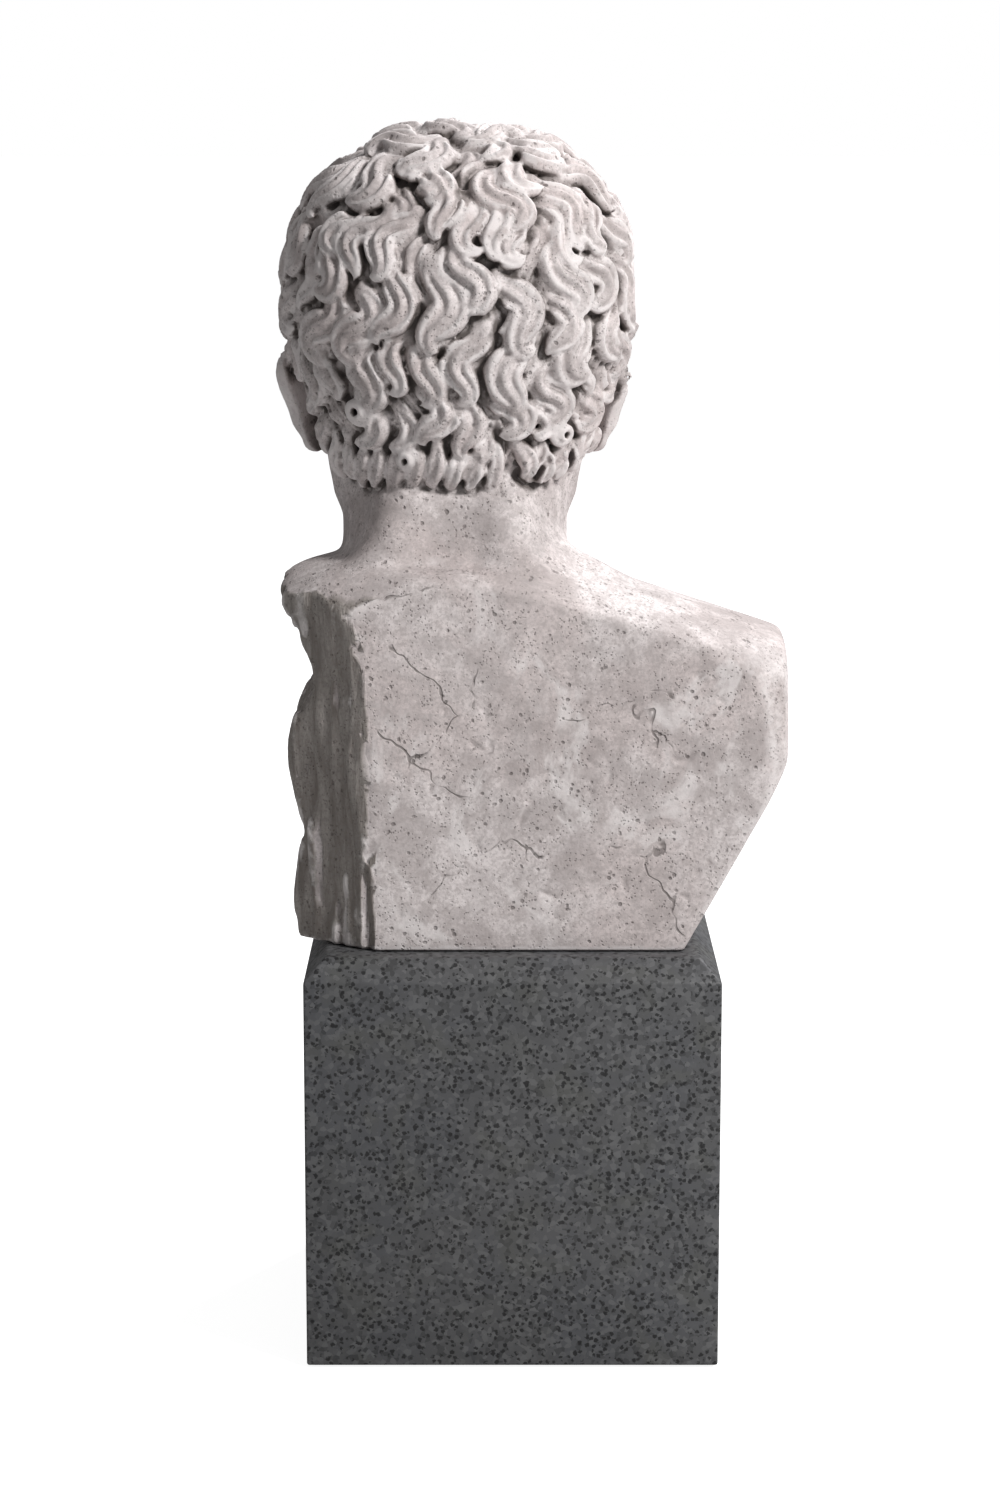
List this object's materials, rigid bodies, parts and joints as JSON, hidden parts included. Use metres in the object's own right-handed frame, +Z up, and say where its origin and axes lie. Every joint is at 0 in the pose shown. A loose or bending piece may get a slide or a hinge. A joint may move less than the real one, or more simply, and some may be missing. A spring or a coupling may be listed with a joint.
{
  "type": "stone bust on plinth",
  "caption": "Life-size stone bust, curly-haired head and cut shoulders, standing on a speckled granite cube; it turns on a steel stud and lifts off.",
  "frame": {"origin": "centre of the face that the plinth rests on", "axes": "+Z up, -Y the way the bust faces, +Y towards the flat sawn back, +X towards the bust's own left"},
  "size_m": [0.276, 0.2433, 0.66],
  "materials": {
    "granite": "satin",
    "marble": "matte",
    "felt": "matte",
    "stainless": "satin",
    "spring_steel": "satin",
    "grout": "matte",
    "slip_plastic": "matte",
    "resin": "satin"
  },
  "bodies": {
    "plinth": {"plinth": "granite", "felt_lining": "felt", "stud": "stainless", "stud_grout": "grout", "upper_washer": "stainless", "jam_nut": "stainless", "plate_washer": "stainless", "spring_washer": "spring_steel", "lower_nut": "stainless"},
    "slip_disc": {"slip_disc": "slip_plastic"},
    "bust": {"bust": "marble", "socket_sleeve": "stainless", "sleeve_plug": "stainless", "socket_resin": "resin"}
  },
  "joints": [
    {"name": "bust_turn", "type": "hinge", "parent": "plinth", "child": "slip_disc", "pos_m": [0, 0, 0.224], "axis": [0, 0, 1], "continuous": true},
    {"name": "bust_lift", "type": "slide", "parent": "slip_disc", "child": "bust", "axis": [0, 0, 1], "range_m": [0, 0.1]}
  ]
}
